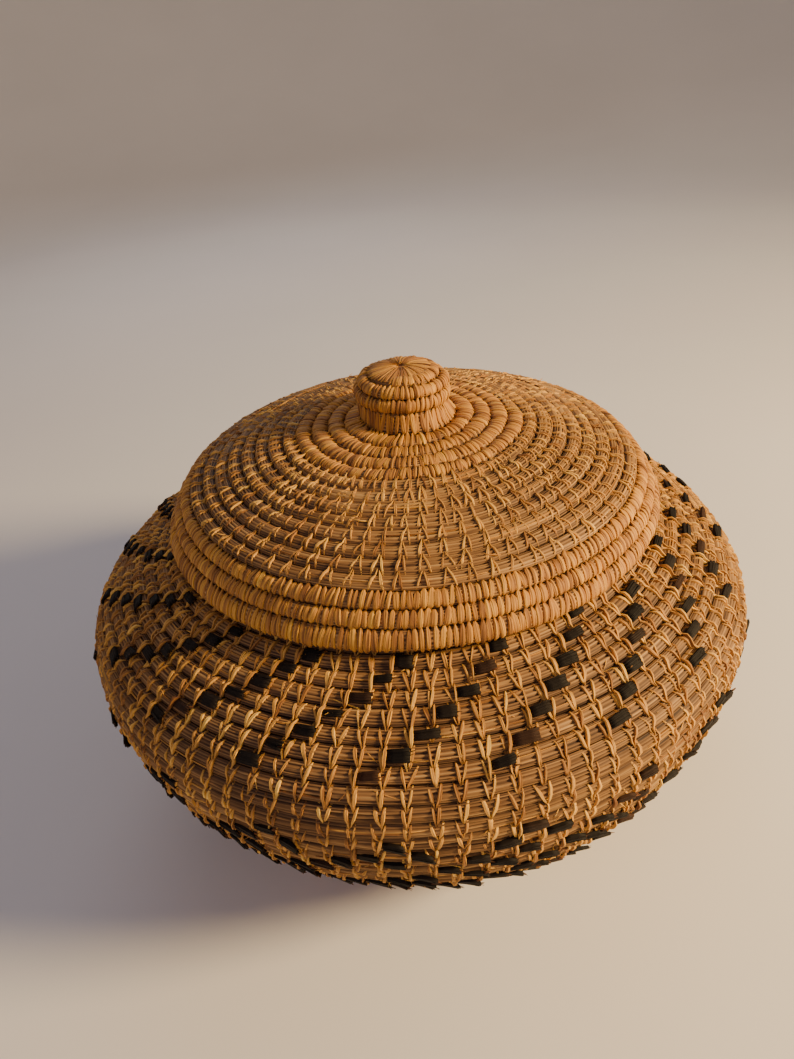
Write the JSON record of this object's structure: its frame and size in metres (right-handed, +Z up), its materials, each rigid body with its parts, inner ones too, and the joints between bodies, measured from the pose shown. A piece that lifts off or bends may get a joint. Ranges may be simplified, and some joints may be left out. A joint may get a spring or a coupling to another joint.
{
  "type": "lidded basket",
  "caption": "Squat coiled grass basket with a rounded belly, a domed overlapping lid that lifts off, a knob, and rows of short dark inlaid strips.",
  "frame": {"origin": "centre of the basket's flat foot, on the surface that it stands on", "axes": "+Z up along the axis of the bowl and the lid; the basket is round, so +X and +Y are any two level directions"},
  "size_m": [0.3012, 0.3012, 0.2052],
  "materials": {
    "stitched_coil": "brown grass bundles under split straw stitches, matt with a slight sheen on the strips",
    "wrapped_coil": "golden straw strips wrapped side by side, slight sheen",
    "dark_strip": "near-black dyed strips, matt, with frayed reddish-brown ends"
  },
  "bodies": {
    "bowl": {"base_button": "wrapped_coil", "base_coil": "stitched_coil", "foot_coil": "stitched_coil", "lower_wall_coil": "stitched_coil", "belly_coil": "stitched_coil", "shoulder_coil": "stitched_coil", "neck_coil": "wrapped_coil", "mouth_coil": "wrapped_coil"},
    "lid": {"knob_button": "wrapped_coil", "knob_coil": "wrapped_coil", "knob_foot_coil": "wrapped_coil", "inner_field_coil": "stitched_coil", "outer_field_coil": "stitched_coil", "lid_band_coil": "wrapped_coil"}
  },
  "joints": [
    {"name": "lid_lift", "type": "slide", "parent": "bowl", "child": "lid", "axis": [0, 0, 1], "range_m": [0, 0.25]}
  ]
}
